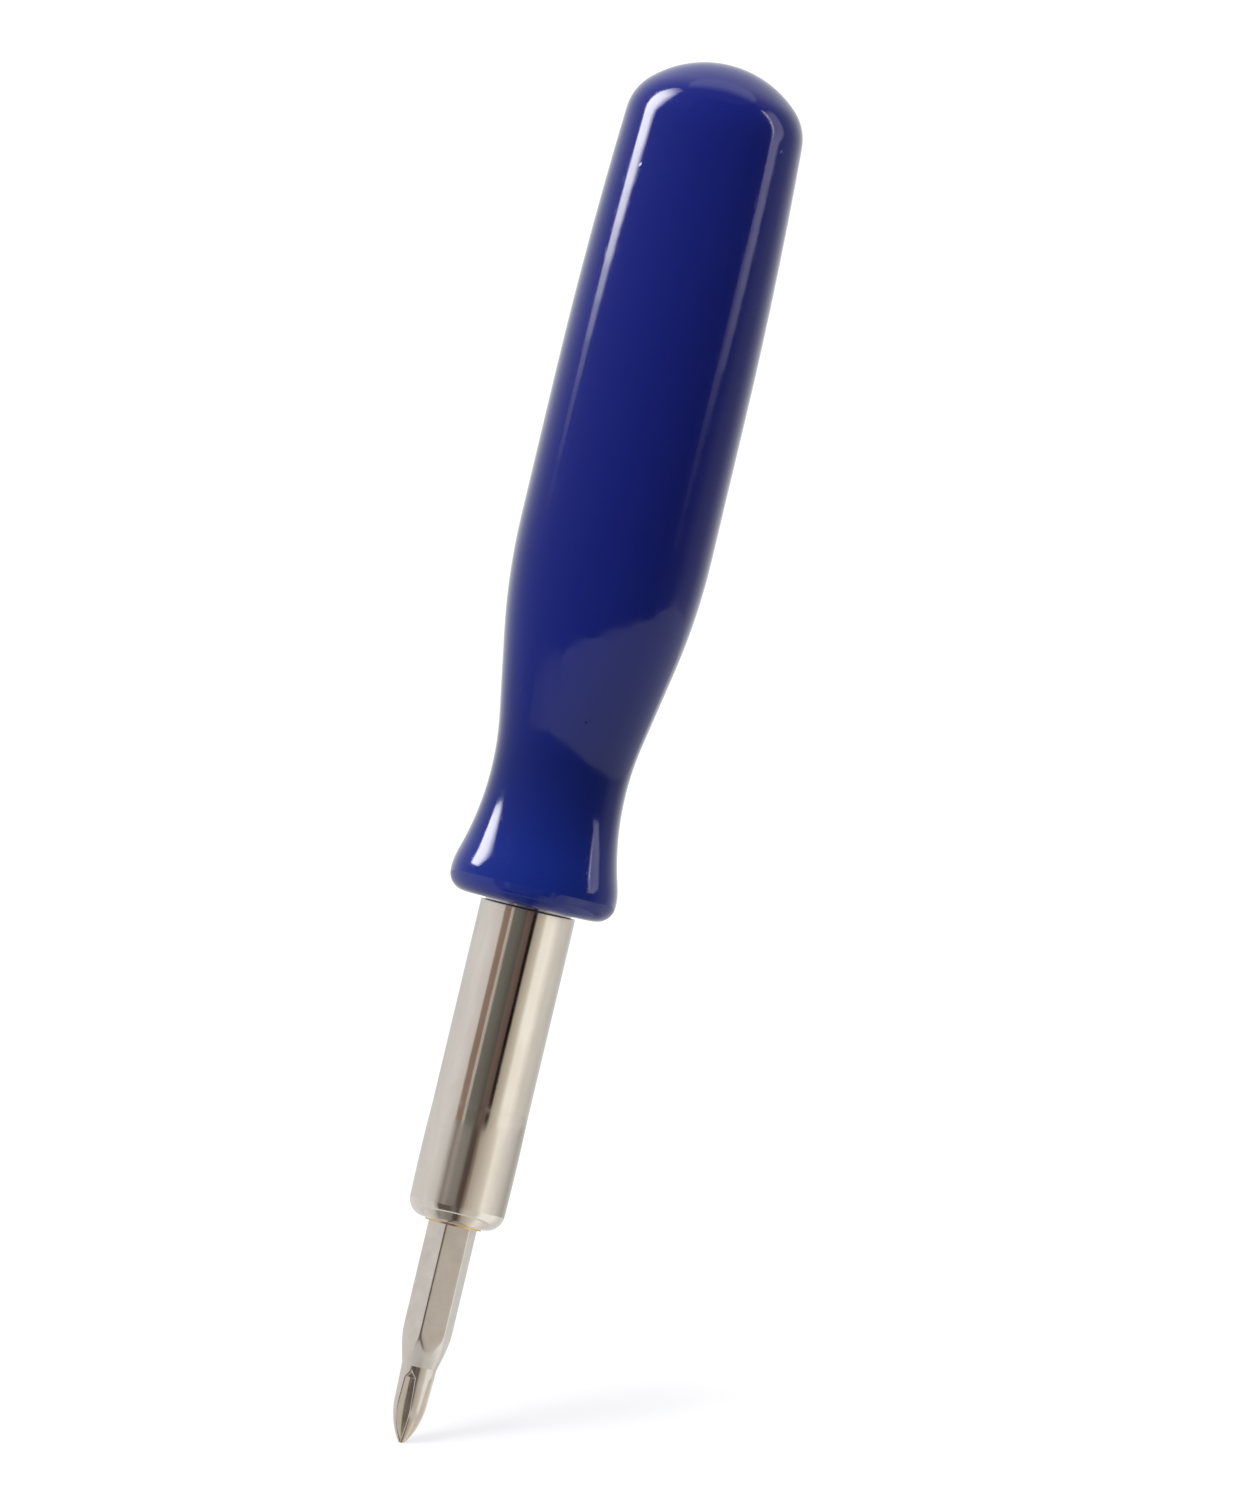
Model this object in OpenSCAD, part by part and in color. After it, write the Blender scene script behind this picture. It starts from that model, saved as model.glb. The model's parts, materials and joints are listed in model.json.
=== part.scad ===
// Pocket precision screwdriver with a reversible, double-ended bit.
// The cross point of the bit is at the origin and the tool's axis is +Z, with the handle up.
// A moulded handle grips a plated tube, the shank sleeve. A hex bush pressed into the
// sleeve's mouth guides the bit, and a magnet backed by a plug holds it and takes its thrust.

/* [Layout] */
// Length of the bit that stands out of the sleeve
bit_exposed = 9.55; // [9:0.05:10.5]
// Length of the sleeve that stands out of the handle
sleeve_exposed = 13.8; // [13:0.05:18]
// Length of the sleeve that is moulded into the handle
sleeve_embedded = 12; // [11:0.5:16]

/* [Handle] */
// Length of the handle, from its base to its crown
handle_length = 36.65; // [35:0.05:44]
// Largest radius of the rim at the base
rim_r = 3.6; // [3.4:0.01:3.8]
// Rounding of the rim's lower edge
rim_round = 0.8; // [0.5:0.05:0.9]
// Radius of the rim's outward curve, above that rounding
rim_curve_r = 3; // [2:0.1:6]
// Radius of the waist, at its narrowest
waist_r = 2.9; // [2.8:0.01:3.1]
// Radius of the waist's hollow curve
waist_curve_r = 12.7; // [10:0.1:13.5]
// Slope of the straight taper that leads from the waist to the barrel, in degrees
taper_angle = 10.2; // [9:0.1:11]
// Radius of the curve between that taper and the barrel
shoulder_curve_r = 28; // [15:1:29]
// Radius of the barrel
barrel_r = 4.15; // [4.1:0.01:4.5]
// Length of the barrel's parallel stretch
barrel_straight = 6.2; // [4:0.1:7]
// Radius of the long curve that narrows the barrel towards the butt
butt_curve_r = 208; // [200:1:300]
// Height of the rounded butt
butt_height = 2.7; // [2.4:0.05:3]
// Rounding of the butt's edge
butt_round = 2.15; // [1.6:0.05:2.2]

/* [Sleeve] */
// Outer diameter of the sleeve
sleeve_d = 4.1; // [4:0.05:4.3]
// Inner diameter of the sleeve
sleeve_bore_d = 3.1; // [2.9:0.05:3.2]
// Rounding of the sleeve's mouth
mouth_round = 0.75; // [0.5:0.05:0.75]
// Thickness of the lip that closes the mouth round the bush
lip_thickness = 0.45; // [0.35:0.05:0.6]
// How far the sleeve swells over the bush, on the radius
swell = 0.026; // [0.01:0.002:0.04]
// Number of ridges in the knurl inside the handle
knurl_ridges = 20; // [16:1:28]
// Length of the knurl
knurl_length = 5; // [4:0.5:6]
// How far the knurl's ridges stand above the sleeve
knurl_raise = 0.08; // [0.04:0.01:0.12]
// Depth of the groove at the handle's base, which the plastic fills
groove_depth = 0.18; // [0.1:0.02:0.22]
// Width of that groove
groove_width = 1.1; // [0.8:0.1:2]

/* [Bush] */
// Height of the bush's inner end above the sleeve's mouth
bush_length = 4.85; // [4:0.05:6]
// Radius of the bush's nose, which shows in the sleeve's mouth
nose_r = 1.22; // [1.2:0.01:1.25]
// How far the nose stands out of the mouth
nose_proud = 0.07; // [0.02:0.01:0.12]

/* [Bit] */
// Overall length of the bit
bit_length = 22; // [21:0.5:23]
// Width of the bit's hexagon across its flats
hex_af = 1.9; // [1.85:0.01:1.92]
// Gap between the bit's flats and the bush's, on each side
hex_gap = 0.025; // [0.015:0.005:0.03]
// Radius of the round neck, where it meets the cone that leads to the hexagon
neck_r = 0.75; // [0.7:0.005:0.8]
// Length from each end of the bit to that cone
neck_length = 3.3; // [3.2:0.05:3.6]
// Slope of the cone, in degrees
neck_cone_angle = 14; // [12:1:30]
// Radius of the blunt point of the cross end
point_r = 0.12; // [0.08:0.01:0.15]
// Radius that the cross end's rounded point grows to
wing_r = 0.71; // [0.65:0.01:0.72]
// Height at which the cross end reaches that radius
point_height = 1.9; // [1.8:0.1:2.4]
// Opening angle of the cross end's flutes, in degrees
flute_angle = 92; // [88:1:96]
// Height at which the flutes run out
flute_end_z = 2.8; // [2.4:0.1:3]
// Thickness of the slotted end's blade, at its edge
blade_thickness = 0.26; // [0.2:0.01:0.4]
// Length over which the blade tapers
blade_taper = 2.4; // [1.8:0.1:2.8]
// Turn of the hexagon about the tool's axis, in degrees
hex_turn = 15; // [0:1:59]
// Turn of the flutes about the tool's axis, in degrees
flute_turn = -22; // [-45:1:45]

/* [Hidden] */
$fn = 64;

// Cutting bodies run past the surfaces that they cut by this much
past = 0.5;
// The furthest that a chord may lie from the arc that it stands for
chord_error = 0.002;
// Gap between pieces that are fixed together
fixed_gap = 0.01;
// Gap between the end of the bit and the magnet
seat_gap = 0.02;

sleeve_r = sleeve_d / 2;
sleeve_bore_r = sleeve_bore_d / 2;
mouth_z = bit_exposed;
base_z = mouth_z + sleeve_exposed;
crown_z = base_z + handle_length;
tail_z = base_z + sleeve_embedded;
bush_end_z = mouth_z + bush_length;

magnet_z = bit_length + seat_gap;
magnet_length = 2.2;
magnet_chamfer = 0.15;
plug_z = magnet_z + magnet_length + fixed_gap;
plug_length = 4;
plug_end_z = plug_z + plug_length;
plug_chamfer = 0.25;

knurl_z = tail_z - 1.5 - knurl_length;
tail_chamfer = 0.25;

// The groove begins this far outside the handle, where it shows as a fine line
groove_lead = 0.1;
groove_r = sleeve_r - groove_depth;
groove_z = base_z - groove_lead;
groove_end_z = groove_z + groove_width;

hex_corner_r = hex_af / sqrt(3);
socket_corner_r = (hex_af + 2 * hex_gap) / sqrt(3);
socket_lead = 0.2;

// The flutes' root rises from the point at a small slope, then runs out at a steep one
root_tip_r = 0.17;
root_slope = 6;
runout_slope = 42;

// Points along an arc about a centre, from one angle to another, close enough together
// to keep to the chord error
function arc(centre, r, from, to) =
    let (steps = max(2, ceil(abs(to - from) * PI / 180 * sqrt(r / (8 * chord_error)))))
    [for (i = [0:steps]) let (a = from + (to - from) * i / steps) centre + r * [cos(a), sin(a)]];

// Handle outline, as [radius, height], from the axis at the base to the axis at the crown.
// The curves meet at a common tangent, which sets where each of them ends.
rim_z = base_z + rim_round;
rim_centre = [rim_r - rim_curve_r, rim_z];
waist_x = waist_r + waist_curve_r;
waist_z = rim_z + sqrt(pow(waist_curve_r + rim_curve_r, 2) - pow(waist_x - rim_centre.x, 2));
rim_angle = atan2(waist_z - rim_z, waist_x - rim_centre.x);

curve_rise = (waist_curve_r + shoulder_curve_r) * (1 - cos(taper_angle));
taper_length = (barrel_r - waist_r - curve_rise) / sin(taper_angle);
barrel_z = waist_z + (waist_curve_r + shoulder_curve_r) * sin(taper_angle)
    + taper_length * cos(taper_angle);
barrel_end_z = barrel_z + barrel_straight;

butt_angle = asin((crown_z - butt_height - barrel_end_z) / butt_curve_r);
butt_centre = [barrel_r - butt_curve_r, barrel_end_z]
    + (butt_curve_r - butt_round) * [cos(butt_angle), sin(butt_angle)];
butt_drop = crown_z - butt_centre.y;
crown_r = (pow(butt_centre.x, 2) + pow(butt_drop, 2) - pow(butt_round, 2))
    / (2 * (butt_drop - butt_round));
crown_angle = atan2(crown_r - butt_drop, butt_centre.x);

handle_outline = concat(
    [[0, base_z]],
    arc([rim_r - rim_round, rim_z], rim_round, -90, 0),
    arc(rim_centre, rim_curve_r, 0, rim_angle),
    arc([waist_x, waist_z], waist_curve_r, 180 + rim_angle, 180 - taper_angle),
    arc([barrel_r - shoulder_curve_r, barrel_z], shoulder_curve_r, -taper_angle, 0),
    arc([barrel_r - butt_curve_r, barrel_end_z], butt_curve_r, 0, butt_angle),
    arc(butt_centre, butt_round, butt_angle, crown_angle),
    arc([0, crown_z - crown_r], crown_r, crown_angle, 90)
);

// Outline of the sleeve's mouth, up to the end of the swell, without its bore
swell_z = mouth_z + mouth_round;
swell_half = (bush_end_z - swell_z) / 2;
swell_curve_r = (pow(swell_half, 2) + pow(swell, 2)) / (2 * swell);
swell_angle = asin(swell_half / swell_curve_r);

mouth_outline = concat(
    [[0, mouth_z]],
    arc([sleeve_r - mouth_round, swell_z], mouth_round, -90, 0),
    arc([sleeve_r + swell - swell_curve_r, swell_z + swell_half], swell_curve_r,
        -swell_angle, swell_angle),
    [[0, bush_end_z]]
);

// Bit outline, before the hexagon, the flutes and the blade are cut
cone_run = hex_corner_r - neck_r + 0.2;
cone_length = cone_run / tan(neck_cone_angle);
point_curve_r = (pow(wing_r - point_r, 2) + pow(point_height, 2)) / (2 * (wing_r - point_r));
point_angle = asin(point_height / point_curve_r);
blade_corner = 0.05;

bit_outline = concat(
    [[0, 0]],
    arc([wing_r - point_curve_r, point_height], point_curve_r, -point_angle, 0),
    [
        [neck_r, neck_length],
        [neck_r + cone_run, neck_length + cone_length],
        [neck_r + cone_run, bit_length - neck_length - cone_length],
        [neck_r, bit_length - neck_length],
        [neck_r, bit_length - blade_corner],
        [neck_r - blade_corner, bit_length],
        [0, bit_length]
    ]
);

// The part of the sleeve that is inside the handle, with a gap all round it
module sleeve_tail(gap) {
    rotate_extrude() polygon([
        [0, base_z - past],
        [groove_r + gap, base_z - past],
        [groove_r + gap, groove_end_z - gap],
        [sleeve_r + gap, groove_end_z - gap],
        [sleeve_r + gap, tail_z + gap],
        [0, tail_z + gap]
    ]);
    translate([0, 0, knurl_z - gap]) linear_extrude(knurl_length + 2 * gap) knurl_star(gap);
}

// Section through the knurl: ridges that stand on the sleeve's outside
module knurl_star(gap) {
    polygon([
        for (i = [0:2 * knurl_ridges - 1])
            let (a = i * 180 / knurl_ridges)
            (sleeve_r + gap + (i % 2 == 0 ? knurl_raise : -gap / 2)) * [cos(a), sin(a)]
    ]);
}

// A hexagonal prism on the tool's axis, from one height to another
module hex_prism(corner_r, from_z, to_z) {
    translate([0, 0, from_z]) rotate([0, 0, hex_turn])
        cylinder(r = corner_r, h = to_z - from_z, $fn = 6);
}

// One flute of the cross end: a groove that deepens towards the point and runs out at the neck
module flute() {
    half_width = tan(flute_angle / 2);
    v_groove = [[0, 0], [1, half_width], [1, -half_width]];
    root_end_r = root_tip_r + flute_end_z * tan(root_slope);
    translate([root_tip_r - past * tan(root_slope), 0, -past]) rotate([0, root_slope, 0])
        linear_extrude((flute_end_z + past) / cos(root_slope)) polygon(v_groove);
    translate([root_end_r, 0, flute_end_z]) rotate([0, runout_slope, 0])
        linear_extrude(1) polygon(v_groove);
}

// What the two flats of the slotted end's blade leave
module blade_wedge() {
    half_edge = blade_thickness / 2;
    taper_z = bit_length - blade_taper;
    rotate([0, 0, hex_turn]) translate([-2, 0, 0]) rotate([90, 0, 90]) linear_extrude(4) polygon([
        [-2, 0],
        [2, 0],
        [2, taper_z],
        [neck_r, taper_z],
        [half_edge, bit_length],
        [-half_edge, bit_length],
        [-neck_r, taper_z],
        [-2, taper_z]
    ]);
}

module handle() {
    core_z = plug_end_z + fixed_gap;
    color([0.07, 0.11, 0.5]) difference() {
        rotate_extrude() polygon(handle_outline);
        difference() {
            sleeve_tail(fixed_gap);
            // The plastic also fills the sleeve above the plug
            translate([0, 0, core_z])
                cylinder(r = sleeve_bore_r - fixed_gap, h = tail_z - core_z + past);
        }
    }
}

module shank_sleeve() {
    lip_z = mouth_z + lip_thickness;
    color([0.78, 0.76, 0.73]) difference() {
        union() {
            rotate_extrude() polygon(mouth_outline);
            rotate_extrude() polygon([
                [0, bush_end_z],
                [sleeve_r, bush_end_z],
                [sleeve_r, groove_z],
                [groove_r, groove_z],
                [groove_r, groove_end_z],
                [sleeve_r, groove_end_z],
                [sleeve_r, tail_z - tail_chamfer],
                [sleeve_r - tail_chamfer, tail_z],
                [0, tail_z]
            ]);
            translate([0, 0, knurl_z]) linear_extrude(knurl_length) knurl_star(0);
        }
        translate([0, 0, mouth_z - past]) cylinder(r = nose_r + fixed_gap, h = tail_z);
        translate([0, 0, lip_z]) cylinder(r = sleeve_bore_r, h = tail_z);
    }
}

module hex_bush() {
    seat_z = mouth_z + lip_thickness + fixed_gap;
    nose_z = mouth_z - nose_proud;
    color([0.83, 0.67, 0.38]) difference() {
        rotate_extrude() polygon([
            [0, nose_z],
            [nose_r, nose_z],
            [nose_r, seat_z],
            [sleeve_bore_r - fixed_gap, seat_z],
            [sleeve_bore_r - fixed_gap, bush_end_z],
            [0, bush_end_z]
        ]);
        hex_prism(socket_corner_r, nose_z - past, bush_end_z + past);
        // Lead at the inner end, for the end of the bit as it is pushed in and out
        translate([0, 0, bush_end_z - socket_lead])
            cylinder(r1 = socket_corner_r - socket_lead, r2 = socket_corner_r + socket_lead,
                h = 2 * socket_lead);
    }
}

module bit_magnet() {
    magnet_r = sleeve_bore_r - fixed_gap;
    color([0.6, 0.6, 0.62]) rotate_extrude() polygon([
        [0, magnet_z],
        [magnet_r - magnet_chamfer, magnet_z],
        [magnet_r, magnet_z + magnet_chamfer],
        [magnet_r, magnet_z + magnet_length - magnet_chamfer],
        [magnet_r - magnet_chamfer, magnet_z + magnet_length],
        [0, magnet_z + magnet_length]
    ]);
}

module thrust_plug() {
    plug_r = sleeve_bore_r - fixed_gap;
    color([0.45, 0.45, 0.47]) rotate_extrude() polygon([
        [0, plug_z],
        [plug_r - plug_chamfer, plug_z],
        [plug_r, plug_z + plug_chamfer],
        [plug_r, plug_end_z],
        [0, plug_end_z]
    ]);
}

module reversible_bit() {
    color([0.74, 0.72, 0.68]) difference() {
        intersection() {
            hex_prism(hex_corner_r, 0, bit_length);
            rotate_extrude() polygon(bit_outline);
            blade_wedge();
        }
        for (side = [0:3]) rotate([0, 0, flute_turn + 90 * side]) flute();
    }
}

handle();
shank_sleeve();
hex_bush();
bit_magnet();
thrust_plug();
reversible_bit();
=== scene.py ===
"""Looks of the pocket precision screwdriver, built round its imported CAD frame."""

import json
import math

import bpy
import numpy as np
from mathutils import Matrix, Vector


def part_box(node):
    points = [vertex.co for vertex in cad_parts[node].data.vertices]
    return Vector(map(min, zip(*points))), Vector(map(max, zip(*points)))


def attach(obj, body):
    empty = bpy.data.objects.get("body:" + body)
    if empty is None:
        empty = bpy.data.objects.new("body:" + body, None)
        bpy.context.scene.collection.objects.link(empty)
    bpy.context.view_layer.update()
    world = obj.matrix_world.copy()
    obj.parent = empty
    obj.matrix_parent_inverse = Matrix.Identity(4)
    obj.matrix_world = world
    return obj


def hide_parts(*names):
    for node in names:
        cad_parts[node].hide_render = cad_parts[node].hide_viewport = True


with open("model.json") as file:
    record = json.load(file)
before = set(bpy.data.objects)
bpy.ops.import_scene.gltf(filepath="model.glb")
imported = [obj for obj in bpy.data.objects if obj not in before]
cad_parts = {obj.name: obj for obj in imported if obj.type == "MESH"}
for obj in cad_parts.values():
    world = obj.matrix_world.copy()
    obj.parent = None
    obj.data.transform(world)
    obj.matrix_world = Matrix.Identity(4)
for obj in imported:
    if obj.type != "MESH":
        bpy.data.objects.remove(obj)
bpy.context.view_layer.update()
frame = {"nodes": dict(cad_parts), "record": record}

MM = 0.001

# Heights and radii that the frame gives
BASE_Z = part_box("handle")[0].z
CROWN_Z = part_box("handle")[1].z
MOUTH_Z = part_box("shank_sleeve")[0].z
TAIL_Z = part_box("shank_sleeve")[1].z
BUSH_END_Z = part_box("hex_bush")[1].z
BIT_END_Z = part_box("reversible_bit")[1].z
SLEEVE_R = frame["record"]["mounts"][0]["dims"]["r_mm"] * MM
KNURL_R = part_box("shank_sleeve")[1].x

# The sleeve's smaller dimensions, as in the CAD
MOUTH_ROUND = 0.75 * MM
LIP_THICKNESS = 0.45 * MM
LIP_R = 1.23 * MM
BORE_R = 1.55 * MM
SWELL = 0.026 * MM
GROOVE_R = SLEEVE_R - 0.18 * MM
GROOVE_LOW = BASE_Z - 0.1 * MM
GROOVE_HIGH = BASE_Z + 1.0 * MM
KNURL_LOW = TAIL_Z - 6.5 * MM
KNURL_HIGH = TAIL_Z - 1.5 * MM
KNURL_RIDGES = 20

# The tool's lean to the right in the picture, and how far the camera looks down on the floor
LEAN = math.radians(13.4)
FLOOR_PITCH = math.radians(12)


# ---------------------------------------------------------------- mesh helpers

def grid_mesh(name, points, close_rows):
    """An object from a grid of points, rows by columns. Columns always join round.
    Rows join round too with close_rows. Otherwise the first and last row are capped."""
    rows, columns = points.shape[:2]
    vertices = [tuple(p) for p in points.reshape(-1, 3)]
    faces = []
    for row in range(rows if close_rows else rows - 1):
        following = (row + 1) % rows
        for column in range(columns):
            beside = (column + 1) % columns
            faces.append((
                row * columns + column,
                row * columns + beside,
                following * columns + beside,
                following * columns + column,
            ))
    if not close_rows:
        for row, turn in ((0, -1), (rows - 1, 1)):
            centre = len(vertices)
            vertices.append(tuple(points[row].mean(axis=0)))
            for column in range(columns):
                beside = (column + 1) % columns
                edge = (row * columns + column, row * columns + beside)
                faces.append((*edge[::turn], centre))
    mesh = bpy.data.meshes.new(name)
    mesh.from_pydata(vertices, [], faces)
    mesh.validate()
    mesh.update()
    mesh.shade_smooth()
    made = bpy.data.objects.new(name, mesh)
    bpy.context.collection.objects.link(made)
    return made


def turned(outline, segments, shape=None):
    """Grid of points for an outline of (radius, height) turned about the axis."""
    angles = np.linspace(0, 2 * math.pi, segments, endpoint=False)
    radius = np.repeat(outline[:, :1], segments, axis=1)
    height = np.repeat(outline[:, 1:], segments, axis=1)
    if shape:
        radius = shape(radius, height, angles[None, :])
    return np.stack([radius * np.cos(angles), radius * np.sin(angles), height], axis=-1)


LARGE_FILLET = 0.2 * MM
END_POINT = 0.02 * MM


def filleted(corners, step):
    """Closed outline through (radius, height, fillet) corners, with rounded corners.
    Long straight stretches get a point every step."""
    outline = []
    count = len(corners)
    for i, (r, z, fillet) in enumerate(corners):
        here = np.array([r, z])
        back = np.array(corners[i - 1][:2]) - here
        ahead = np.array(corners[(i + 1) % count][:2]) - here
        back_unit = back / np.linalg.norm(back)
        ahead_unit = ahead / np.linalg.norm(ahead)
        half = math.acos(np.clip(back_unit @ ahead_unit, -1, 1)) / 2
        reach = fillet / math.tan(half)
        centre = here + (back_unit + ahead_unit) * reach / (2 * math.cos(half) ** 2)
        start = here + back_unit * reach - centre
        end = here + ahead_unit * reach - centre
        pieces = 16 if fillet > LARGE_FILLET else 5
        for k in range(pieces + 1):
            spoke = start * (1 - k / pieces) + end * (k / pieces)
            outline.append(centre + spoke * fillet / np.linalg.norm(spoke))
    outline = np.array(outline)
    filled = []
    for a, b in zip(outline, np.roll(outline, -1, axis=0)):
        length = np.linalg.norm(b - a)
        parts = max(1, math.ceil(length / step))
        if parts > 1:
            # A point close to each end keeps the rounding's shading off the straight
            close = END_POINT / length
            shares = [0, close, *np.arange(1, parts) / parts, 1 - close]
        else:
            shares = [0]
        filled += [a + (b - a) * share for share in shares]
    return np.array(filled)


def smoothed(outline, count, passes):
    """An open outline with count points spaced evenly, lightly smoothed."""
    lengths = np.r_[0, np.cumsum(np.linalg.norm(np.diff(outline, axis=0), axis=1))]
    places = np.linspace(0, lengths[-1], count)
    even = np.stack([np.interp(places, lengths, outline[:, k]) for k in range(2)], axis=1)
    for _ in range(passes):
        even[1:-1] = (even[:-2] + 2 * even[1:-1] + even[2:]) / 4
    return even


# ---------------------------------------------------------------- handle

def handle_outline():
    """The handle's outline from the CAD mesh, from the rim of its bore to the crown."""
    inside_r = KNURL_R + 0.1 * MM
    level_height = 0.001 * MM
    widest = {}
    for vertex in frame["nodes"]["handle"].data.vertices:
        r = math.hypot(vertex.co.x, vertex.co.y)
        if r > inside_r or vertex.co.z > TAIL_Z + 1 * MM:
            level = round(vertex.co.z / level_height)
            widest[level] = max(widest.get(level, 0), r)
    outside = [(r, level * level_height) for level, r in sorted(widest.items())]
    bore_r = GROOVE_R + 0.01 * MM
    outline = smoothed(np.array([(bore_r, BASE_Z)] + outside), 420, 4)
    plug = [(bore_r * share, GROOVE_HIGH) for share in (0.02, 0.5, 0.97, 1)]
    wall = [(bore_r, GROOVE_HIGH - share * (GROOVE_HIGH - BASE_Z)) for share in (0.03, 0.5, 0.97)]
    return np.vstack([plug, wall, outline[:-1], [(0.02 * MM, outline[-1][1])]])


def handle_shape(radius, height, angle):
    """Adds the faint parting line of the mould, down both sides."""
    line_width = 0.05 * MM
    line_height = 0.006 * MM
    across = np.minimum(np.abs(np.sin(angle)), 1) * radius
    return radius + line_height * np.exp(-((across / line_width) ** 2)) * (height > BASE_Z + 0.5 * MM)


def make_handle():
    piece = grid_mesh("handle_body", turned(handle_outline(), 384, handle_shape), False)
    piece.data.materials.append(handle_plastic())
    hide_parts("handle")
    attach(piece, "driver")


# ---------------------------------------------------------------- sleeve

def sleeve_shape(radius, height, angle):
    """Swells the sleeve over its bush, with slight unevenness there, and adds the knurl."""
    low = MOUTH_Z + MOUTH_ROUND * 0.6
    share = np.clip((height - low) / (BUSH_END_Z - low), 0, 1)
    bulge = 4 * share * (1 - share)
    uneven = (
        np.sin(3 * angle + 1.3 + 900 * height)
        + 0.7 * np.sin(5 * angle - 0.4 - 1500 * height)
        + 0.5 * np.sin(8 * angle + 2.1 + 2300 * height)
    )
    outside = radius > BORE_R + 0.2 * MM
    radius = radius + outside * bulge * (SWELL + 0.0016 * MM * uneven)
    ridge = np.abs((angle * KNURL_RIDGES / (2 * math.pi)) % 1 - 0.5) * 2
    knurled = (height > KNURL_LOW) & (height < KNURL_HIGH) & outside
    return radius + knurled * ridge * (KNURL_R - SLEEVE_R)


def make_sleeve():
    fine = 0.03 * MM
    corners = [
        (LIP_R, MOUTH_Z, fine),
        (SLEEVE_R, MOUTH_Z, MOUTH_ROUND),
        (SLEEVE_R, GROOVE_LOW, fine),
        (GROOVE_R, GROOVE_LOW, fine),
        (GROOVE_R, GROOVE_HIGH, fine),
        (SLEEVE_R, GROOVE_HIGH, fine),
        (SLEEVE_R, TAIL_Z, 0.2 * MM),
        (BORE_R, TAIL_Z, fine),
        (BORE_R, MOUTH_Z + LIP_THICKNESS, fine),
        (LIP_R, MOUTH_Z + LIP_THICKNESS, fine),
    ]
    outline = filleted(corners, 0.15 * MM)
    piece = grid_mesh("sleeve_tube", turned(outline, 320, sleeve_shape), True)
    piece.data.materials.append(sleeve_nickel())
    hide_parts("shank_sleeve")
    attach(piece, "driver")


# ---------------------------------------------------------------- bit

HEX_IN_R = 0.95 * MM
HEX_TURN = math.radians(15)
FLUTE_TURN = math.radians(-22)
FLUTE_OPENING = math.tan(math.radians(46))
FLUTE_END = 2.8 * MM
NECK_R = 0.75 * MM
NECK_LENGTH = 3.3 * MM
CONE_SLOPE = math.tan(math.radians(14))
POINT_R = 0.12 * MM
WING_R = 0.71 * MM
POINT_HEIGHT = 1.9 * MM
BLADE_HALF = 0.13 * MM
BLADE_TAPER = 2.4 * MM
ROOT_TIP_R = 0.17 * MM
ROOT_SLOPE = math.tan(math.radians(6))
RUNOUT_SLOPE = math.tan(math.radians(42))
EDGE_SOFTNESS = 0.03 * MM


def softest(surfaces, softness):
    """The lowest of several surfaces, with their meeting edges rounded."""
    lowest = np.minimum.reduce(surfaces)
    total = sum(np.exp(-(s - lowest) / softness) for s in surfaces)
    return lowest - softness * np.log(total)


def blank_radius(z):
    """Radius of the bit's turned blank at each height: point, neck, cone."""
    curve = ((WING_R - POINT_R) ** 2 + POINT_HEIGHT**2) / (2 * (WING_R - POINT_R))
    rise = np.clip(POINT_HEIGHT - z, 0, POINT_HEIGHT)
    point = WING_R - curve + np.sqrt(curve**2 - rise**2)
    neck_share = np.clip((z - POINT_HEIGHT) / (NECK_LENGTH - POINT_HEIGHT), 0, 1)
    neck = point + neck_share * (NECK_R - WING_R)
    from_end = np.minimum(z, BIT_END_Z - z)
    cone = NECK_R + np.maximum(from_end - NECK_LENGTH, 0) * CONE_SLOPE
    return np.where(z < NECK_LENGTH, neck, cone)


def bit_radius(angle, z):
    """Radius of the bit's surface at an angle and a height."""
    flats = []
    for k in range(6):
        facing = np.cos(angle - HEX_TURN - math.radians(30 + 60 * k))
        flats.append(HEX_IN_R / np.maximum(facing, 0.3) + 0 * z)
    half_blade = BLADE_HALF + np.maximum(BIT_END_Z - z, 0) * (NECK_R - BLADE_HALF) / BLADE_TAPER
    blade = half_blade / np.maximum(np.abs(np.sin(angle - HEX_TURN)), 0.05)
    root = ROOT_TIP_R + z * ROOT_SLOPE + np.maximum(z - FLUTE_END, 0) * RUNOUT_SLOPE
    across = (angle - FLUTE_TURN + math.pi / 4) % (math.pi / 2) - math.pi / 4
    opening = FLUTE_OPENING * np.cos(across) - np.abs(np.sin(across))
    flute = root * FLUTE_OPENING / np.maximum(opening, 0.02)
    surfaces = [blank_radius(z) + 0 * angle, *flats, blade, flute + 0 * z]
    return softest([s / MM for s in surfaces], EDGE_SOFTNESS / MM) * MM


def make_bit():
    shaped = 5 * MM
    angles = np.linspace(0, 2 * math.pi, 600, endpoint=False)[None, :]
    tip = np.linspace(0, shaped, 220)
    shaft = np.linspace(shaped, BIT_END_Z - shaped, 30)[1:-1]
    tail = np.linspace(BIT_END_Z - shaped, BIT_END_Z, 90)
    heights = np.concatenate([tip, shaft, tail])[:, None]
    radius = bit_radius(angles, heights)
    points = np.stack([
        radius * np.cos(angles),
        radius * np.sin(angles),
        np.repeat(heights, angles.size, axis=1),
    ], axis=-1)
    piece = grid_mesh("bit_body", points, False)
    piece.data.materials.append(bit_steel())
    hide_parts("reversible_bit")
    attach(piece, "bit")


# ---------------------------------------------------------------- materials

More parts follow.
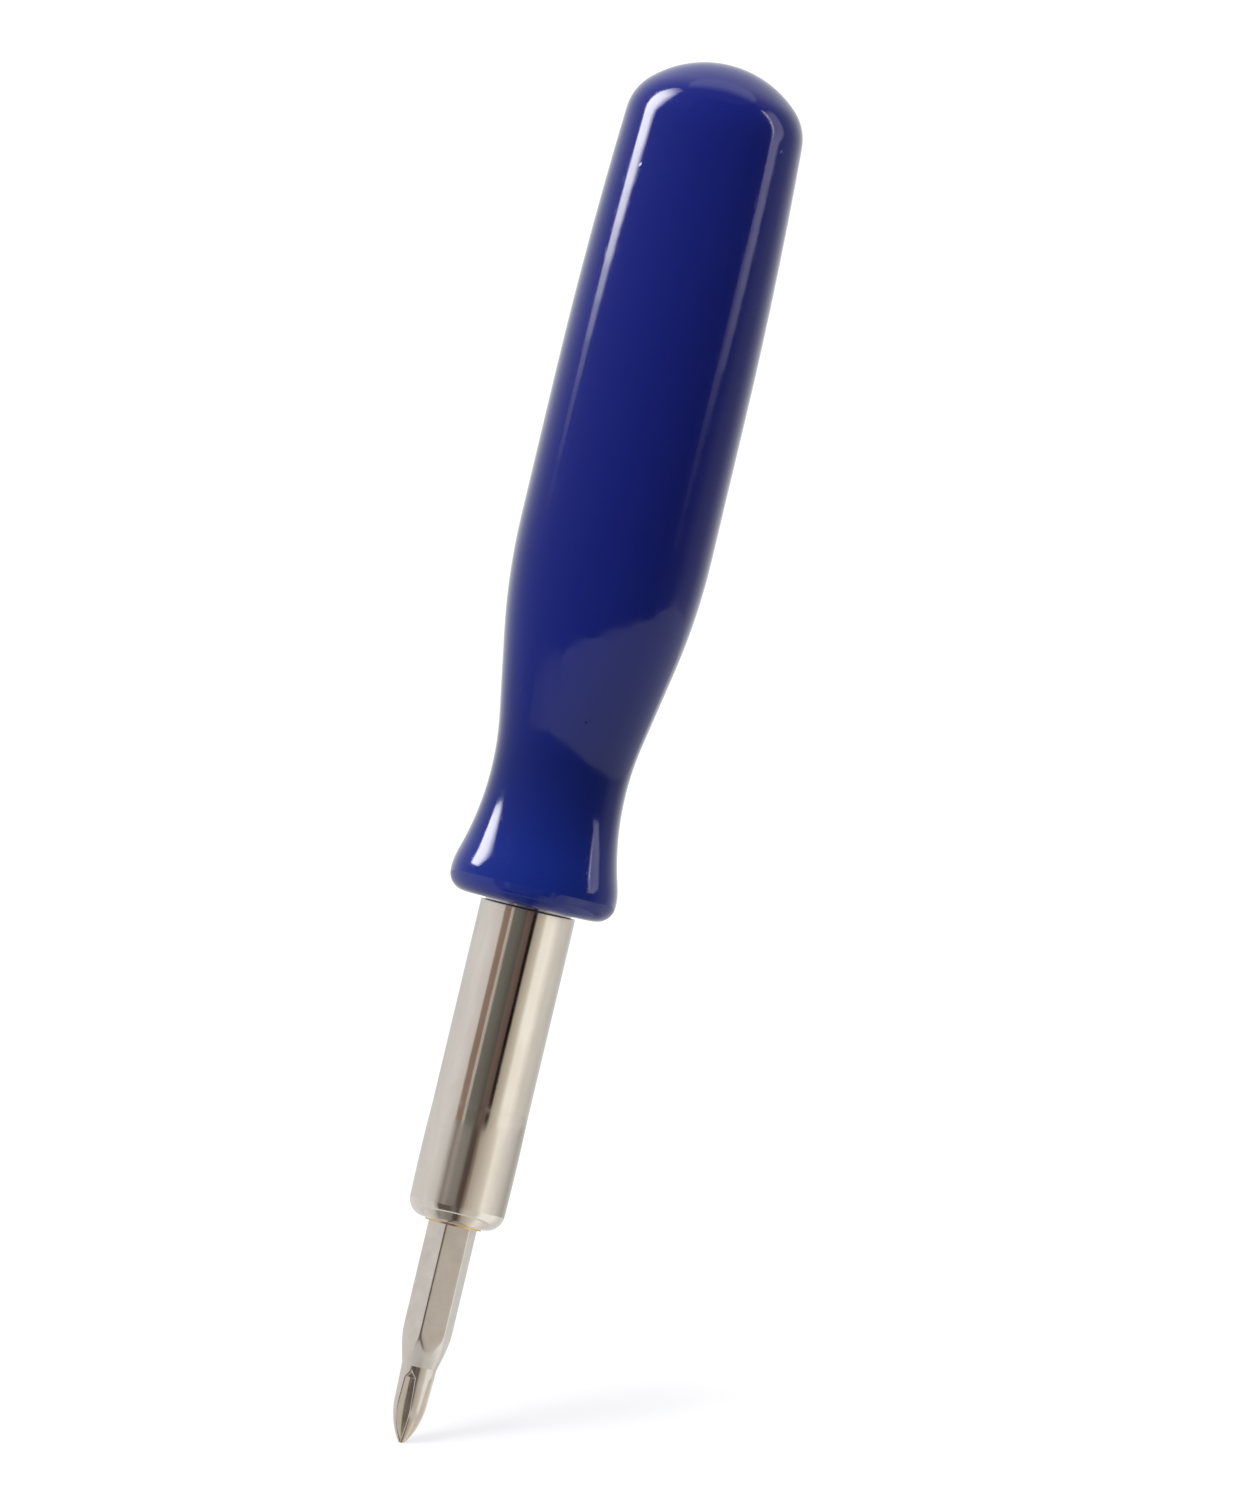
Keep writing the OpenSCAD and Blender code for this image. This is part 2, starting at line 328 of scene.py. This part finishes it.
class Nodes:
    """Short names for making one material's nodes."""

    def __init__(self, name):
        self.material = bpy.data.materials.new(name)
        self.material.use_nodes = True
        self.tree = self.material.node_tree
        self.shader = self.tree.nodes["Principled BSDF"]
        self.place = self.tree.nodes.new("ShaderNodeTexCoord").outputs["Object"]

    def add(self, kind, **inputs):
        """A node of that kind with its inputs set or linked."""
        node = self.tree.nodes.new(kind)
        for key, value in inputs.items():
            self.put(node.inputs[key.replace("_", " ")], value)
        return node

    def put(self, socket, value):
        if isinstance(value, bpy.types.NodeSocket):
            self.tree.links.new(value, socket)
        else:
            socket.default_value = value

    def scaled(self, x, y, z):
        """The object's coordinates, stretched by those factors."""
        node = self.add("ShaderNodeMapping", Vector=self.place)
        node.inputs["Scale"].default_value = (x, y, z)
        return node.outputs["Vector"]

    def noise(self, vector, scale, detail=3.0, roughness=0.5):
        node = self.add("ShaderNodeTexNoise", Vector=vector, Scale=scale, Detail=detail)
        self.put(node.inputs["Roughness"], roughness)
        return node.outputs["Fac"]

    def ramp(self, value, low, high, to_low, to_high):
        """value's range from low to high, mapped to another range."""
        node = self.add("ShaderNodeMapRange", Value=value)
        for socket, number in zip(node.inputs[1:5], (low, high, to_low, to_high)):
            socket.default_value = number
        return node.outputs["Result"]

    def mixed(self, share, first, second):
        """Two colours mixed by a share of the second."""
        node = self.add("ShaderNodeMix")
        node.data_type = "RGBA"
        self.put(node.inputs["Factor"], share)
        self.put(node.inputs[6], first)
        self.put(node.inputs[7], second)
        return node.outputs[2]

    def bump(self, height, distance, strength=1.0, under=None):
        node = self.add("ShaderNodeBump", Height=height, Distance=distance, Strength=strength)
        if under:
            self.put(node.inputs["Normal"], under)
        return node.outputs["Normal"]

    def colours(self, value, stops):
        """A colour ramp over value, from (position, colour) stops."""
        node = self.add("ShaderNodeValToRGB", Fac=value)
        band = node.color_ramp
        band.elements[0].position = stops[0][0]
        band.elements[0].color = (*stops[0][1], 1)
        band.elements[1].position = stops[-1][0]
        band.elements[1].color = (*stops[-1][1], 1)
        for position, colour in stops[1:-1]:
            band.elements.new(position).color = (*colour, 1)
        return node.outputs["Color"]

    def finish(self, **inputs):
        for key, value in inputs.items():
            self.put(self.shader.inputs[key.replace("_", " ")], value)
        return self.material


def handle_plastic():
    """Glossy moulded blue plastic, with faint flow, sink and handling marks. Its blue is painted
    lighter towards the base and crown for the light through the plastic, and a painted shade darkens a
    band round the waist.
    """
    n = Nodes("handle_plastic")
    height = n.add("ShaderNodeSeparateXYZ", Vector=n.place).outputs["Z"]
    along = n.ramp(height, BASE_Z, CROWN_Z, 0, 1)
    flow = n.noise(n.scaled(1, 1, 0.35), 260, 2.0)
    # Base blue painted lighter towards the base and crown: painted light for the light that shows
    # through the plastic's ends.
    colour = n.colours(along, [
        (0.0, (0.0048, 0.0140, 0.136)),
        (0.08, (0.0046, 0.0125, 0.122)),
        (0.17, (0.0044, 0.0098, 0.104)),
        (0.32, (0.0044, 0.0082, 0.098)),
        (0.45, (0.0042, 0.0070, 0.090)),
        (0.9, (0.0052, 0.0085, 0.102)),
        (1.0, (0.0070, 0.0110, 0.125)),
    ])
    flow_swirls_and_painted_light = n.mixed(n.ramp(flow, 0.35, 0.7, 0, 0.2), colour, (0.006, 0.0125, 0.128, 1))
    # A dark band painted round the waist, from near the base to about a third of the way up: painted
    # shade.
    painted_waist_shade = n.colours(along, [
        (0.0, (0.0, 0.0, 0.0)),
        (0.06, (0.04, 0.04, 0.04)),
        (0.115, (0.27, 0.27, 0.27)),
        (0.16, (0.36, 0.36, 0.36)),
        (0.21, (0.2, 0.2, 0.2)),
        (0.3, (0.0, 0.0, 0.0)),
    ])
    with_painted_waist_shade = n.mixed(painted_waist_shade, flow_swirls_and_painted_light, (0.003, 0.0045, 0.03, 1))
    sink = n.bump(n.noise(n.scaled(1, 1, 0.6), 190, 1.0), 0.02 * MM)
    scuffs = n.noise(n.scaled(2.5, 2.5, 0.3), 5200, 4.0, 0.6)
    fine = n.bump(n.ramp(scuffs, 0.62, 0.8, 0, 1), 0.0012 * MM, 1.0, sink)
    dust = n.add("ShaderNodeTexVoronoi", Vector=n.place, Scale=620.0).outputs["Distance"]
    dusty = n.bump(n.ramp(dust, 0.03, 0.085, 1, 0), 0.012 * MM, 0.6, fine)
    rubbed = n.noise(n.place, 700, 5.0, 0.6)
    return n.finish(
        Base_Color=with_painted_waist_shade,
        Roughness=n.ramp(rubbed, 0.3, 0.8, 0.05, 0.13),
        IOR=1.5,
        Normal=dusty,
    )


def sleeve_nickel():
    """Bright nickel plate on a drawn tube: lengthwise draw lines and a few specks."""
    n = Nodes("sleeve_nickel")
    height = n.add("ShaderNodeSeparateXYZ", Vector=n.place).outputs["Z"]
    swaged = n.ramp(height, BUSH_END_Z, BUSH_END_Z - 0.5 * MM, 0, 1)
    lines = n.noise(n.scaled(1, 1, 0.02), 5200, 4.0, 0.55)
    drawn = n.bump(lines, 0.0012 * MM)
    waves = n.bump(n.noise(n.scaled(1, 1, 0.45), 950, 3.0), 0.004 * MM, 1.0, drawn)
    specks = n.add("ShaderNodeTexVoronoi", Vector=n.place, Scale=1900.0).outputs["Distance"]
    pitted = n.bump(n.ramp(specks, 0.05, 0.13, 0, 1), 0.003 * MM, 0.2, waves)
    cloud = n.noise(n.scaled(1, 1, 0.4), 1500, 4.0)
    base_rough = n.ramp(cloud, 0.3, 0.75, 0.06, 0.11)
    rough = n.add("ShaderNodeMath")
    rough.operation = "MULTIPLY_ADD"
    n.put(rough.inputs[0], swaged)
    n.put(rough.inputs[1], 0.015)
    n.put(rough.inputs[2], base_rough)
    tint = n.colours(cloud, [(0.3, (0.80, 0.765, 0.71)), (0.7, (0.86, 0.83, 0.785))])
    return n.finish(Base_Color=tint, Metallic=1.0, Roughness=rough.outputs[0], Normal=pitted)


def bit_steel():
    """Satin nickel-plated steel, slightly yellowed at the worn wing edges."""
    n = Nodes("bit_steel")
    height = n.add("ShaderNodeSeparateXYZ", Vector=n.place).outputs["Z"]
    grain = n.noise(n.scaled(1, 1, 0.15), 6000, 5.0, 0.6)
    cloud = n.noise(n.place, 1300, 4.0)
    plated = n.colours(cloud, [(0.3, (0.70, 0.665, 0.62)), (0.7, (0.79, 0.76, 0.715))])
    worn = n.ramp(height, 3.0 * MM, 0.4 * MM, 0, 0.5)
    rolled = n.bump(grain, 0.0008 * MM)
    blasted = n.bump(n.noise(n.place, 9000, 3.0), 0.0006 * MM, 1.0, rolled)
    return n.finish(
        Base_Color=n.mixed(worn, plated, (0.72, 0.63, 0.52, 1)),
        Metallic=1.0,
        Roughness=n.ramp(cloud, 0.3, 0.75, 0.15, 0.22),
        Normal=blasted,
    )


def turned_metal(name, low, high, rough, lines_scale):
    """Bare turned metal with fine tool marks round the axis."""
    n = Nodes(name)
    marks = n.noise(n.scaled(0.05, 0.05, 1), lines_scale, 3.0)
    cloud = n.noise(n.place, 1600, 4.0)
    colour = n.colours(cloud, [(0.3, low), (0.7, high)])
    return n.finish(
        Base_Color=colour,
        Metallic=1.0,
        Roughness=n.ramp(cloud, 0.3, 0.7, rough, rough + 0.1),
        Normal=n.bump(marks, 0.001 * MM),
    )


def dress_cad_nodes():
    """Gives the CAD nodes that stay their finishes."""
    finishes = {
        "hex_bush": turned_metal("bush_brass", (0.80, 0.56, 0.24), (0.90, 0.68, 0.36), 0.18, 7000),
        "bit_magnet": turned_metal("magnet_nickel", (0.55, 0.55, 0.56), (0.68, 0.68, 0.69), 0.2, 3000),
        "thrust_plug": turned_metal("plug_steel", (0.38, 0.38, 0.40), (0.5, 0.5, 0.52), 0.35, 5000),
    }
    for node, finish in finishes.items():
        slots = frame["nodes"][node].material_slots
        for slot in slots:
            slot.material = finish


# ---------------------------------------------------------------- studio

def around(azimuth, distance, height):
    """A point round the axis. Azimuths are in degrees to the right of the camera."""
    angle = math.radians(azimuth)
    return (distance * math.sin(angle), -distance * math.cos(angle), height)


def glow(name):
    """Plain light of the colours painted on a card's corners."""
    material = bpy.data.materials.new(name)
    material.use_nodes = True
    tree = material.node_tree
    tree.nodes.clear()
    paint = tree.nodes.new("ShaderNodeAttribute")
    paint.attribute_name = "glow"
    shine = tree.nodes.new("ShaderNodeEmission")
    output = tree.nodes.new("ShaderNodeOutputMaterial")
    tree.links.new(paint.outputs["Color"], shine.inputs["Color"])
    tree.links.new(shine.outputs[0], output.inputs["Surface"])
    material.cycles.emission_sampling = "NONE"
    return material


def sheet(name, rows, material):
    """A painted sheet. rows holds rows of (point, colour), as many in each."""
    columns = len(rows[0])
    points = [point for row in rows for point, _ in row]
    colours = [colour for row in rows for _, colour in row]
    faces = []
    for i in range(len(rows) - 1):
        for j in range(columns - 1):
            first = i * columns + j
            faces.append((first, first + 1, first + columns + 1, first + columns))
    mesh = bpy.data.meshes.new(name)
    mesh.from_pydata(points, [], faces)
    painted = mesh.color_attributes.new("glow", "FLOAT_COLOR", "POINT")
    for corner, colour in zip(painted.data, colours):
        corner.color = (*colour, 1)
    mesh.materials.append(material)
    made = bpy.data.objects.new(name, mesh)
    bpy.context.collection.objects.link(made)
    made.visible_shadow = False
    return made


def card(name, rows):
    """A sheet out of the camera's sight, seen only in the tool's polish."""
    made = sheet(name, rows, glow(name))
    made.visible_camera = False
    made.visible_diffuse = False


def blend(stops, azimuth):
    """The value of (azimuth, value) stops at an azimuth. Values are tuples."""
    azimuths = [stop[0] for stop in stops]
    return tuple(
        float(np.interp(azimuth, azimuths, [stop[1][k] for stop in stops]))
        for k in range(len(stops[0][1]))
    )


def wall(name, distance, stops, edges, step=3):
    """A curved card. stops hold the colour, edges the lower and upper height, by azimuth."""
    first, last = edges[0][0], edges[-1][0]
    fine = [stop[0] for stop in stops if first < stop[0] < last]
    azimuths = sorted({*np.arange(first, last, step).tolist(), last, *fine})
    rows = []
    for k in range(2):
        row = []
        for azimuth in azimuths:
            height = blend(edges, azimuth)[k]
            row.append((around(azimuth, distance, height * MM), blend(stops, azimuth)))
        rows.append(row)
    card(name, rows)


def strip(name, distance, rows):
    """A strip light. rows hold a height, the azimuths of its four columns and its
    radiance; the outer columns are dark, so that the light fades out sideways."""
    grid = []
    for height, azimuths, radiance, tint in rows:
        row = []
        for azimuth, share in zip(azimuths, (0, 1, 1, 0)):
            colour = tuple(radiance * share * part for part in tint)
            row.append((around(azimuth, distance, height * MM), colour))
        grid.append(row)
    card(name, grid)


FAR = 400 * MM
MIDDLE = 90 * MM
CLOSE = 22 * MM

# What the sleeve mirrors above its bush
SLEEVE_STOPS = [
    (-180, (0.80, 0.79, 0.78)),
    (-150, (0.62, 0.62, 0.62)),
    (-120, (0.70, 0.68, 0.66)),
    (-85, (0.74, 0.71, 0.70)),
    (-54, (0.64, 0.60, 0.57)),
    (-50, (0.28, 0.20, 0.16)),
    (-37, (0.27, 0.19, 0.15)),
    (-35, (0.52, 0.47, 0.41)),
    (-31, (0.47, 0.42, 0.37)),
    (-28, (0.17, 0.165, 0.145)),
    (-12, (0.14, 0.135, 0.12)),
    (-1, (0.10, 0.09, 0.078)),
    (3, (0.16, 0.11, 0.095)),
    (14, (0.12, 0.085, 0.075)),
    (17, (0.014, 0.008, 0.008)),
    (22, (0.014, 0.008, 0.008)),
    (26, (0.42, 0.37, 0.30)),
    (42, (0.62, 0.56, 0.47)),
    (50, (0.96, 0.91, 0.83)),
    (70, (1.0, 0.95, 0.87)),
    (90, (0.70, 0.66, 0.60)),
    (130, (0.58, 0.56, 0.53)),
    (160, (0.64, 0.63, 0.61)),
    (180, (0.80, 0.79, 0.78)),
]

# What it mirrors over its bush, where the tube is swaged
SWAGE_STOPS = [
    (-180, (0.75, 0.74, 0.73)),
    (-150, (0.66, 0.65, 0.64)),
    (-85, (0.74, 0.71, 0.69)),
    (-58, (0.64, 0.61, 0.59)),
    (-50, (0.45, 0.43, 0.40)),
    (-42, (0.25, 0.22, 0.20)),
    (-34, (0.35, 0.31, 0.285)),
    (-24, (0.25, 0.23, 0.215)),
    (-10, (0.23, 0.21, 0.18)),
    (-3, (0.10, 0.08, 0.07)),
    (5, (0.09, 0.06, 0.05)),
    (11, (0.20, 0.16, 0.13)),
    (17, (0.42, 0.36, 0.30)),
    (34, (0.58, 0.53, 0.46)),
    (47, (0.70, 0.64, 0.55)),
    (57, (0.94, 0.89, 0.80)),
    (72, (0.82, 0.78, 0.70)),
    (95, (0.66, 0.62, 0.59)),
    (126, (0.42, 0.40, 0.37)),
    (150, (0.56, 0.54, 0.50)),
    (180, (0.75, 0.74, 0.73)),
]

# What the bit mirrors
BIT_STOPS = [
    (-180, (0.75, 0.74, 0.73)),
    (-100, (0.74, 0.72, 0.71)),
    (-58, (0.70, 0.67, 0.65)),
    (-49, (0.42, 0.39, 0.36)),
    (-44, (0.12, 0.10, 0.085)),
    (-18, (0.12, 0.10, 0.085)),
    (-8, (0.19, 0.17, 0.15)),
    (5, (0.09, 0.065, 0.055)),
    (13, (0.40, 0.35, 0.30)),
    (22, (0.56, 0.51, 0.46)),
    (50, (0.66, 0.62, 0.56)),
    (62, (0.98, 0.96, 0.92)),
    (100, (0.95, 0.93, 0.90)),
    (130, (0.70, 0.69, 0.67)),
    (180, (0.75, 0.74, 0.73)),
]

# What the bit's cone mirrors, and the handle's taper
CONE_STOPS = [(-180, (0.68, 0.66, 0.64)), (180, (0.68, 0.66, 0.64))]
FLOOR_STOPS = [
    (-150, (0.28, 0.28, 0.31)),
    (-78, (0.30, 0.30, 0.33)),
    (-60, (0.42, 0.42, 0.45)),
    (-42, (0.54, 0.54, 0.58)),
    (150, (0.58, 0.58, 0.62)),
]

# What the handle mirrors
HIGH_STOPS = [
    (-150, (0.90, 0.90, 0.92)),
    (-130, (0.62, 0.62, 0.66)),
    (-112, (0.42, 0.42, 0.46)),
    (-85, (0.25, 0.25, 0.28)),
    (-60, (0.15, 0.15, 0.17)),
    (-35, (0.08, 0.08, 0.09)),
    (0, (0.035, 0.035, 0.04)),
    (30, (0.03, 0.03, 0.035)),
    (60, (0.03, 0.03, 0.035)),
    (85, (0.10, 0.10, 0.11)),
    (100, (0.30, 0.29, 0.33)),
    (120, (0.38, 0.37, 0.41)),
    (150, (0.88, 0.87, 0.90)),
]


def mouth_colour(point):
    """What the sleeve's rounded mouth mirrors low down: the colour that keeps its
    stripes straight as the rounding turns them down to this point."""
    ray = (Vector(point) - Vector((0, 0, MOUTH_Z))).normalized()
    return blend(SWAGE_STOPS, 2 * math.degrees(math.atan2(ray.x, 1 - ray.y)))


def make_close_cards():
    """Rings of card close round the sleeve and the bit, one for each stretch of them."""
    rings = [
        ("sleeve_room", SLEEVE_STOPS, 13.9, 23.05),
        ("swage_room", SWAGE_STOPS, 8.6, 13.9),
        ("bit_room", BIT_STOPS, -5.5, 8.6),
        ("cone_room", CONE_STOPS, -10.5, -5.5),
    ]
    for name, stops, low, high in rings:
        wall(name, CLOSE, stops, [(-180, (low, high)), (180, (low, high))])
    azimuths = np.linspace(-180, 180, 121)
    bottom = -60 * MM
    side_rows = [(CLOSE, height * MM) for height in (-60, -45, -34, -26, -20, -15, -10.5)]
    bottom_rows = [(distance * MM, bottom) for distance in (22, 18, 14, 10, 6, 3, 0.1)]
    for name, rows in (("low_room", side_rows), ("low_bottom", bottom_rows)):
        points = [[around(azimuth, *row) for azimuth in azimuths] for row in rows]
        card(name, [[(point, mouth_colour(point)) for point in row] for row in points])


# Where the dark room ends and what is over or under it begins, as (azimuth, height in mm)
MIDDLE_EDGE = [
    (-125, 9),
    (-66, 7.3),
    (-35, 4),
    (0, 7.8),
    (18, 11.5),
    (60, 20),
    (100, 31),
    (125, 33),
]
FAR_EDGE = [
    (-150, -170),
    (-95, -150),
    (-82, -110),
    (-66, -66),
    (0, -56),
    (30, -40),
    (60, -20),
    (87, -3),
    (101, 3),
    (150, 6),
]
WALL_TOP = 850


def make_room():
    """The dark room on the camera's side, its paler walls and floor."""
    wall("middle_room", MIDDLE, HIGH_STOPS, [(azimuth, (edge, 40)) for azimuth, edge in MIDDLE_EDGE])
    wall("far_room", FAR, HIGH_STOPS, [(azimuth, (edge, WALL_TOP)) for azimuth, edge in FAR_EDGE])
    wall("far_floor", FAR, FLOOR_STOPS, [(azimuth, (-700, edge)) for azimuth, edge in FAR_EDGE])


def make_strips():
    """The strip lights, whose reflections are the handle's long highlights."""
    white = (1, 0.985, 0.98)
    violet = (1, 0.93, 1.18)
    strip("left_strip", 0.98 * FAR, [
        (50, (-103, -101, -96, -92), 0.4, white),
        (60, (-103, -101, -95, -91), 1.6, white),
        (72, (-104, -102, -94, -90), 4.0, white),
        (86, (-104, -102, -93, -88), 11, white),
        (105, (-105, -103, -91, -84), 15, white),
        (200, (-106, -104, -88, -76), 16, white),
        (330, (-106, -103, -86, -74), 14, white),
        (480, (-104, -100, -86, -76), 5, white),
        (640, (-102, -98, -86, -80), 0, white),
    ])
    strip("right_strip", 0.98 * FAR, [
        (46, (70, 72, 76, 79), 0.08, violet),
        (56, (71, 73, 79, 81), 0.4, violet),
        (67, (72, 74, 84, 87), 1.1, violet),
        (85, (74, 76, 87, 91), 1.9, violet),
        (101, (79, 81, 91, 95), 2.2, violet),
        (130, (79, 81, 97, 104), 1.9, violet),
        (180, (80, 82, 101, 108), 1.6, violet),
        (420, (82, 84, 104, 110), 1.4, violet),
        (560, (84, 88, 98, 104), 0, violet),
    ])
    strip("right_edge", 0.97 * FAR, [
        (66, (73, 73.8, 74.6, 75.4), 0.6, violet),
        (90, (77, 77.8, 79, 80), 1.8, violet),
        (110, (81, 81.8, 83.4, 84), 3, violet),
        (200, (83, 83.8, 85.5, 86), 6, white),
        (480, (84, 85, 87, 88), 9, white),
        (560, (82, 83, 86, 88), 0, white),
    ])


def make_ceiling():
    """Dark over the camera and pale behind the tool."""
    rows = []
    for y, grey in ((-400, 0.12), (-40, 0.16), (60, 0.6), (160, 1.1), (320, 1.1)):
        colour = (grey, grey, grey * 1.05)
        rows.append([((x * MM, y * MM, WALL_TOP * MM), colour) for x in (-420, 420)])
    card("ceiling", rows)


def floor_paper():
    """Pale paper. Its painted brightness keeps it white beyond the faint shadow."""
    material = bpy.data.materials.new("floor_paper")
    material.use_nodes = True
    tree = material.node_tree
    shader = tree.nodes["Principled BSDF"]
    shader.inputs["Base Color"].default_value = (0.157, 0.157, 0.157, 1)
    shader.inputs["Roughness"].default_value = 1
    shader.inputs["Specular IOR Level"].default_value = 0
    shader.inputs["Emission Strength"].default_value = 1
    paint = tree.nodes.new("ShaderNodeAttribute")
    paint.attribute_name = "glow"
    tree.links.new(paint.outputs["Color"], shader.inputs["Emission Color"])
    return material


def make_floor():
    """A pale floor under the point, level to the camera, and small, so that it
    hides little of the tool from the sides. Its painted glow, brighter away from the point and a
    little blue, makes the shadow fade out and look bluish. The tool stands on its point, so the floor
    goes down with the bit when that is drawn out."""
    sideways = (-9, -4, 0, 4, 9, 14, 19)
    backwards = (-4, 0, 4, 9, 14)
    # Painted light: the floor's glow is dimmer at the point and brighter away from it, so the shadow
    # fades out to white. It is also a little bluer, so the shadow looks bluish.
    painted_blue_in_shadow = 0.03
    painted_glow_by_distance = [(0, 0.735), (4, 0.73), (9, 0.74), (14, 0.78), (20, 0.83), (30, 0.88)]
    rows = []
    for y in backwards:
        row = []
        for x in sideways:
            bright = float(np.interp(math.hypot(x, y), *zip(*painted_glow_by_distance)))
            row.append(((x * MM, y * MM, 0), (bright, bright, bright + painted_blue_in_shadow)))
        rows.append(row)
    floor = sheet("floor", rows, floor_paper())
    floor.visible_glossy = False
    floor.rotation_euler = (FLOOR_PITCH, -LEAN, 0)
    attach(floor, "bit")


def make_key_light():
    """A soft light from the upper left, for the faint shadow and the handle's left side."""
    data = bpy.data.lights.new("key_light", "AREA")
    data.shape = "DISK"
    data.size = 280 * MM
    data.energy = 3.8
    light = bpy.data.objects.new("key_light", data)
    bpy.context.collection.objects.link(light)
    light.location = (-380 * MM, -260 * MM, 330 * MM)
    aim = Vector((0, 0, 30 * MM)) - light.location
    light.rotation_euler = aim.to_track_quat("-Z", "Y").to_euler()
    light.visible_glossy = False


def make_world():
    """White surroundings, bright enough to the camera to leave no horizon."""
    world = bpy.data.worlds.new("surroundings")
    bpy.context.scene.world = world
    world.use_nodes = True
    tree = world.node_tree
    soft = tree.nodes["Background"]
    soft.inputs["Color"].default_value = (1, 1, 1, 1)
    soft.inputs["Strength"].default_value = 0.9
    seen = tree.nodes.new("ShaderNodeBackground")
    seen.inputs["Color"].default_value = (1, 1, 1, 1)
    seen.inputs["Strength"].default_value = 1.1
    path = tree.nodes.new("ShaderNodeLightPath")
    mix = tree.nodes.new("ShaderNodeMixShader")
    tree.links.new(path.outputs["Is Camera Ray"], mix.inputs[0])
    tree.links.new(soft.outputs[0], mix.inputs[1])
    tree.links.new(seen.outputs[0], mix.inputs[2])
    tree.links.new(mix.outputs[0], tree.nodes["World Output"].inputs["Surface"])


def make_camera():
    """Square to the tool's axis, rolled so that the tool leans right."""
    looks_at = Vector((2.43 * MM, 0, 30.74 * MM))
    frame_height = 63.56 * MM
    data = bpy.data.cameras.new("camera")
    data.lens = 300
    data.sensor_width = 36
    data.clip_start = 1 * MM
    data.clip_end = 5
    distance = frame_height * data.lens / data.sensor_width
    camera = bpy.data.objects.new("camera", data)
    bpy.context.collection.objects.link(camera)
    right = Vector((math.cos(LEAN), 0, math.sin(LEAN)))
    up = Vector((-math.sin(LEAN), 0, math.cos(LEAN)))
    back = Vector((0, -1, 0))
    turn = Matrix((right, up, back)).transposed().to_4x4()
    camera.matrix_world = Matrix.Translation(looks_at + back * distance) @ turn
    bpy.context.scene.camera = camera


make_handle()
make_sleeve()
make_bit()
dress_cad_nodes()
make_close_cards()
make_room()
make_strips()
make_ceiling()
make_floor()
make_key_light()
make_world()
make_camera()
bpy.context.scene.view_settings.view_transform = "Standard"
